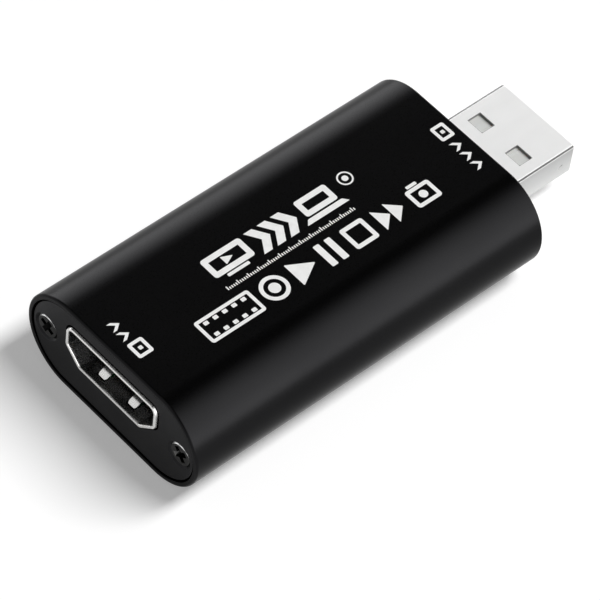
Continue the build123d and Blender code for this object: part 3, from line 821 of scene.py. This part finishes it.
for count, floor_z, open_z in (
    (10, tongue_high - fine_groove_depth, tongue_high + cut_clear),
    (9, tongue_low + fine_groove_depth, tongue_low - cut_clear),
):
    for index in range(count):
        y = socket_side + index - (count - 1) / 2
        groove = bmesh.new()
        box(
            groove, (fine_groove_front, y - fine_groove_half, floor_z),
            (fine_groove_back, y + fine_groove_half, open_z),
        )
        grooves.append(groove)
block.from_mesh(drawn(cut(tongue, *grooves)))
piece(
    "video_socket_tongue", block, moulded_black, "stick", ["socket_insulator"],
    edge=0.03,
)


# Socket contacts
# Nineteen strips stamped from copper alloy and flashed with gold lie in the tongue's grooves, ten
# above and nine below, and their tails step down behind the block to the board. The plug's four
# flat contacts have the same finish.

gold_flash = finish(
    "gold_flash", (0.78, 0.55, 0.22), (0.86, 0.64, 0.3), patch=0.8, rough=(0.18, 0.3), fine=0.05,
    bump=0.002, Metallic=1.0,
)


def dress(material, *nodes):
    """Gives CAD nodes their finish."""
    for node in nodes:
        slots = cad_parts[node].data.materials
        slots.clear()
        slots.append(material)


dress(gold_flash, "socket_contacts_upper", "socket_contacts_lower", "plug_contacts")


# Computer plug shell
# The shell is 0.3 mm steel sheet rolled to a rectangle, nickel plated satin bright. Its keyed seam
# closes on the underside, two latch holes go through its top and two through its underside, each
# side has a slanted nick near the tip, and two wings at its back are soldered to the board.

plug_tip = 38.4
plug_back = 19.6
plug_top = plug_middle + plug_half_height
plug_underside = plug_middle - plug_half_height
hole_setback = 5.16
hole_half_length, hole_half_width = 0.975, 1.2
hole_middle_x, hole_middle_y = plug_tip - hole_setback - hole_half_length, 3.1
hole_corner = 0.22
hole_reach = 5
# Painted shade round the latch holes: the band's width and its fade.
hole_shade_band, hole_shade_fade = 0.025, 0.03
nick_half = Vector((0.38, 0.27, 0.11))
nick_behind_tip, nick_height, nick_tilt = 1.9, 4.6, -34
seam_half = 0.05
wing_start, wing_end = plug_back + 0.7, plug_back + 2.9
wing_inner, wing_outer = 5.8, 7.8
wing_low = 5.2
# Painted dark reflection along the bends: where the dark line lies and how sharply it fades.
bend_aside = 0.07
bend_start_y, bend_start_z, bend_fade = 5.7, 1.99, 0.04
# Painted shade on the plug's sides: the heights and lengths over which it grows.
shade_low, shade_high = 2.5, 6.6
shade_back, shade_front = 24, 38
painted_bend_shade = (0.07, 0.07, 0.07)
painted_side_shade = (0.46, 0.47, 0.465)
hole_shade_colour = (0.3, 0.3, 0.3)

# Each run of the seam has its start, its end and its side.
seam_runs = (
    (plug_back - 1, 23.74, 0.0), (23.74, 26.37, 1.1), (26.37, 30.88, 0.0), (30.88, 33.51, -1.1),
    (33.51, plug_tip + 1, 0.0),
)


def seam_groove(low_x, high_x, low_y, high_y):
    """A run of the seam, through the shell's underside."""
    groove = bmesh.new()
    box(
        groove, (low_x - seam_half, low_y - seam_half, plug_underside - cut_clear),
        (high_x + seam_half, high_y + seam_half, plug_underside + sheet + cut_clear),
    )
    return groove


plug_shell = bmesh.new()
bridged(plug_shell, plug_outline, (
    (-sheet, plug_back), (-sheet, plug_tip - 0.06), (-sheet + 0.05, plug_tip), (-0.12, plug_tip),
    (-0.05, plug_tip - 0.03), (0, plug_tip - 0.12), (0, plug_back),
))
tools = []
for side in (-1, 1):
    hole = bmesh.new()
    hole_y = side * hole_middle_y
    box(
        hole,
        (hole_middle_x - hole_half_length, hole_y - hole_half_width, plug_middle - hole_reach),
        (hole_middle_x + hole_half_length, hole_y + hole_half_width, plug_middle + hole_reach),
    )
    upright = [edge for edge in hole.edges if edge.calc_length() > hole_reach]
    eased(hole, upright, "EDGES", hole_corner, 5)
    tools.append(hole)
    nick = bmesh.new()
    box(nick, -nick_half, nick_half)
    place = Matrix.Translation((plug_tip - nick_behind_tip, side * plug_half_width, nick_height))
    tilt = Matrix.Rotation(math.radians(nick_tilt), 4, "Y")
    bmesh.ops.transform(nick, matrix=place @ tilt, verts=nick.verts)
    tools.append(nick)
for low_x, high_x, y in seam_runs:
    tools.append(seam_groove(low_x, high_x, y, y))
for (_, x, first), (_, _, second) in zip(seam_runs, seam_runs[1:]):
    tools.append(seam_groove(x, x, *sorted((first, second))))
plug_shell = cut(plug_shell, *tools)
for side in (-1, 1):
    box(
        plug_shell, (wing_start, side * wing_inner, wing_low),
        (wing_end, side * wing_outer, wing_low + sheet),
    )

satin_nickel = finish(
    "satin_nickel", (0.9, 0.9, 0.895), (0.94, 0.94, 0.935), patch=3.0, rough=(0.4, 0.5), fine=0.1,
    bump=0.003, stretch=(0.3, 1, 1), Metallic=0.3,
)
tree = satin_nickel.node_tree
spot = spot_in(tree)
width = apart(tree, spot["Y"], 0)

# Painted dark reflection: a darker line is painted along each bend of the sheet, between the flats.
bend_y = apart(tree, spot["Y"], -bend_aside)
bend_y = fade(tree, bend_y, bend_start_y, bend_start_y + bend_fade)
bend_z = apart(tree, spot["Z"], plug_middle)
bend_z = fade(tree, bend_z, bend_start_z, bend_start_z + bend_fade)
repaint(satin_nickel, sums(tree, "MULTIPLY", bend_y, bend_z), painted_bend_shade)

# Painted shade: the sides are painted darker than the top, more so towards the top edge and the
# tip.
side_face = fade(tree, width, plug_half_width - 0.04, plug_half_width - 0.01)
rise = fade(tree, spot["Z"], shade_low, shade_high, 0.1, 0.85)
reach = fade(tree, spot["X"], shade_back, shade_front, 0.55, 1.0)
shade = sums(tree, "MULTIPLY", side_face, sums(tree, "MULTIPLY", rise, reach))
repaint(satin_nickel, shade, painted_side_shade)

# Painted shade: a darker band is painted round each latch hole's edge.
along = apart(tree, spot["X"], hole_middle_x)
across = apart(tree, width, hole_middle_y)
end_x, end_y = hole_half_length + hole_shade_band, hole_half_width + hole_shade_band
edge_x = fade(tree, along, end_x, end_x + hole_shade_fade, 1.0, 0.0)
edge_y = fade(tree, across, end_y, end_y + hole_shade_fade, 1.0, 0.0)
repaint(satin_nickel, sums(tree, "MULTIPLY", edge_x, edge_y), hole_shade_colour)
piece(
    "computer_plug_shell", plug_shell, satin_nickel, "stick", ["plug_shell"],
    edge=0.04,
)


# Computer plug insulator
# A white moulded block fills the shell's back, and its slab lies under the shell's top with the
# four contacts along its lower face. Shallow pockets under the latch holes leave room for a
# port's latches.

slab_play = 0.05
slab_front, slab_back = plug_tip - 0.6, 23.5
slab_half = plug_half_width - sheet - slab_play
slab_thickness = 1.8
slab_high = plug_top - sheet - slab_play
slab_low = slab_high - slab_thickness
block_low = plug_underside + sheet + slab_play
pocket_half = 1.08
wide_groove_back = slab_back + 0.2
wide_groove_half, wide_groove_depth = 0.55, 0.16

# Each pocket steps down from its outer side to its inner side, given with the depth between them.
pocket_steps = ((4.4, 2.5, 0.03), (2.4, 2.2, 0.06), (2.08, 1.8, 0.03))

# Each contact's groove has its side and its front end.
wide_grooves = ((-3.5, 37.1), (-1.0, 36.1), (1.0, 36.1), (3.5, 37.1))
moulded_white = finish(
    "moulded_white", (0.62, 0.62, 0.6), (0.7, 0.7, 0.68), patch=2.0, rough=(0.4, 0.55), fine=0.1,
    bump=0.004, Subsurface_Weight=0.05,
)
slab = bmesh.new()
box(slab, (slab_back, -slab_half, slab_low), (slab_front, slab_half, slab_high))
hollows = []
for side in (-1, 1):
    for outer, inner, depth in pocket_steps:
        pocket = bmesh.new()
        box(
            pocket, (hole_middle_x - pocket_half, side * outer, slab_high - depth),
            (hole_middle_x + pocket_half, side * inner, slab_high + cut_clear),
        )
        hollows.append(pocket)
for y, front in wide_grooves:
    groove = bmesh.new()
    box(
        groove, (wide_groove_back, y - wide_groove_half, slab_low - cut_clear),
        (front, y + wide_groove_half, slab_low + wide_groove_depth),
    )
    hollows.append(groove)
slab = cut(slab, *hollows)
block = bmesh.new()
box(block, (plug_back, -slab_half, block_low), (slab_back + 0.1, slab_half, slab_high))
slab.from_mesh(drawn(block))
piece(
    "computer_plug_insulator", slab, moulded_white, "stick", ["plug_insulator"],
    edge=0.05,
)


# Circuit board
# Green solder mask over glass epoxy, with the weave faintly in it. The board slides in between
# the screw channels and the ledges and carries both connectors.

solder_mask = finish(
    "solder_mask", (0.012, 0.11, 0.04), (0.02, 0.16, 0.06), patch=1.2, rough=(0.22, 0.34),
    fine=0.35, bump=0.01, Coat_Weight=0.3,
)
dress(solder_mask, "circuit_board")


# Small parts on the board
# Moulded chips, their tinned leads, a crystal in its can, an inductor, ceramic capacitors, thick
# film resistors and the solder at the shells' legs and wings, all placed by machine and reflowed.

chip_resin = finish(
    "chip_resin", (0.014, 0.014, 0.015), (0.026, 0.026, 0.027), patch=0.9, rough=(0.5, 0.66),
    fine=0.06, bump=0.01,
)
tinned = finish(
    "tinned", (0.52, 0.52, 0.52), (0.68, 0.68, 0.69), patch=0.6, rough=(0.24, 0.42), fine=0.1,
    bump=0.006, Metallic=1.0,
)
ferrite = finish(
    "ferrite", (0.03, 0.028, 0.027), (0.055, 0.052, 0.05), patch=0.7, rough=(0.55, 0.75),
    fine=0.12, bump=0.015,
)
fired_ceramic = finish(
    "fired_ceramic", (0.36, 0.24, 0.13), (0.48, 0.34, 0.2), patch=0.7, rough=(0.4, 0.6),
    fine=0.12, bump=0.01,
)
dress(chip_resin, "capture_chip", "memory_chip", "regulators", "resistors", "protection_arrays")
dress(tinned, "capture_chip_leads", "memory_chip_leads", "regulator_leads", "crystal")
dress(tinned, "solder_joints")
dress(ferrite, "inductor")
dress(fired_ceramic, "capacitors")


# Floor, light and camera
# The stick lies on white paper under one long soft lamp, which stands beyond the plug, so the
# shadow falls softly in front of the socket. Soft panels around it show only in reflections.

floor_half = 3
floor_drop = 0.02 * MM
floor_glow = 0.3
lamp_power = 247
lamp_length, lamp_width = 3.2, 1.3
lamp_distance = 5
lamp_elevation = math.radians(58)
lamp_heading = Vector((1, -0.62, 0)).normalized()
room_fill = 0.12
camera_lens = 243.97
camera_place = (-0.210487, -0.191484, 0.351748)
camera_back = Vector((-0.46986, -0.42267, 0.77498)).normalized()
camera_right = Vector((0.7416, -0.6657, 0.0869)).normalized()

# Each panel has its direction, its half width in degrees and its strength.
room_panels = (
    ((0.47, -0.85, 0.22), 72, 3.15), ((0.47, 0.88, 0.06), 47, 4.2), ((-0.62, 0.2, 0.7), 34, 0.9),
)


def ray_factor(tree, *kinds):
    """One where the ray is any of those kinds, and zero elsewhere."""
    rays = add_node(tree, "LightPath")
    total = rays.outputs[kinds[0]]
    for kind in kinds[1:]:
        total = sums(tree, "MAXIMUM", total, rays.outputs[kind])
    return total


def standing(right, up, back, place):
    """The matrix of a lamp or camera from its own three axes and its place."""
    stand = Matrix((right, up, back)).transposed().to_4x4()
    stand.translation = place
    return stand


ground = bmesh.new()
bmesh.ops.create_grid(
    ground, x_segments=1, y_segments=1, size=floor_half,
    matrix=Matrix.Translation((0, 0, -floor_drop)),
)
floor = link("floor", drawn(ground))
paper = bpy.data.materials.new("white_paper")
paper.use_nodes = True
tree = paper.node_tree
tree.nodes.clear()
matt = add_node(tree, "BsdfDiffuse", {"Color": (0.8, 0.8, 0.8, 1)}).outputs[0]
glow = add_node(tree, "Emission", {"Color": (1, 1, 1, 1), "Strength": floor_glow}).outputs[0]
both = add_node(tree, "AddShader", {0: matt, 1: glow}).outputs[0]
seen = ray_factor(tree, "Is Camera Ray", "Is Glossy Ray", "Is Transmission Ray")
paper_mix = add_node(tree, "MixShader", {0: seen, 1: matt, 2: both}).outputs[0]
add_node(tree, "OutputMaterial", {"Surface": paper_mix})
floor.data.materials.append(paper)

key = bpy.data.lights.new("key", "AREA")
key.energy = lamp_power
key.shape = "RECTANGLE"
key.size = lamp_length
key.size_y = lamp_width
key_lamp = link("key", key)
toward_key = lamp_heading * math.cos(lamp_elevation)
toward_key.z = math.sin(lamp_elevation)
across_key = toward_key.cross(Vector((1, 0, 0))).normalized()
key_lamp.matrix_world = standing(
    across_key.cross(toward_key), across_key, toward_key, toward_key * lamp_distance
)
key_lamp.visible_glossy = False
key_lamp.visible_camera = False

# In reflections the room is bright low down and nearly dark overhead, apart from its panels.
world = bpy.data.worlds.new("studio")
bpy.context.scene.world = world
world.use_nodes = True
tree = world.node_tree
tree.nodes.clear()
look = add_node(tree, "TexCoord").outputs["Generated"]
height = add_node(tree, "SeparateXYZ", {0: look}).outputs["Z"]
glare = spread(tree, height, 1.0, 0.03, 0.15, 0.55, interpolation_type="SMOOTHSTEP")
for toward, wide, level in room_panels:
    aim = Vector(toward).normalized()
    near = add_node(tree, "VectorMath", {0: look, 1: aim}, operation="DOT_PRODUCT")
    panel_light = spread(
        tree, near.outputs["Value"], 0.0, level, math.cos(math.radians(wide)), 1.0,
        interpolation_type="SMOOTHSTEP",
    )
    glare = sums(tree, "ADD", glare, panel_light)
room = add_node(tree, "Background", {"Color": (1, 1, 1, 1), "Strength": glare}).outputs[0]
fill = add_node(tree, "Background", {"Color": (1, 1, 1, 1), "Strength": room_fill}).outputs[0]
white = add_node(tree, "Background", {"Color": (1, 1, 1, 1), "Strength": 1.0}).outputs[0]
mirror = ray_factor(tree, "Is Glossy Ray", "Is Transmission Ray")
camera_ray = ray_factor(tree, "Is Camera Ray")
lit = add_node(tree, "MixShader", {0: mirror, 1: fill, 2: room}).outputs[0]
sky = add_node(tree, "MixShader", {0: camera_ray, 1: lit, 2: white}).outputs[0]
add_node(tree, "OutputWorld", {"Surface": sky})

camera_data = bpy.data.cameras.new("camera")
camera_data.lens = camera_lens
camera_data.sensor_width = 36
camera_data.clip_start = 0.01
camera = link("camera", camera_data)
camera_up = camera_back.cross(camera_right).normalized()
camera.matrix_world = standing(
    camera_up.cross(camera_back), camera_up, camera_back, camera_place
)
bpy.context.scene.camera = camera
bpy.context.scene.view_settings.view_transform = "Standard"
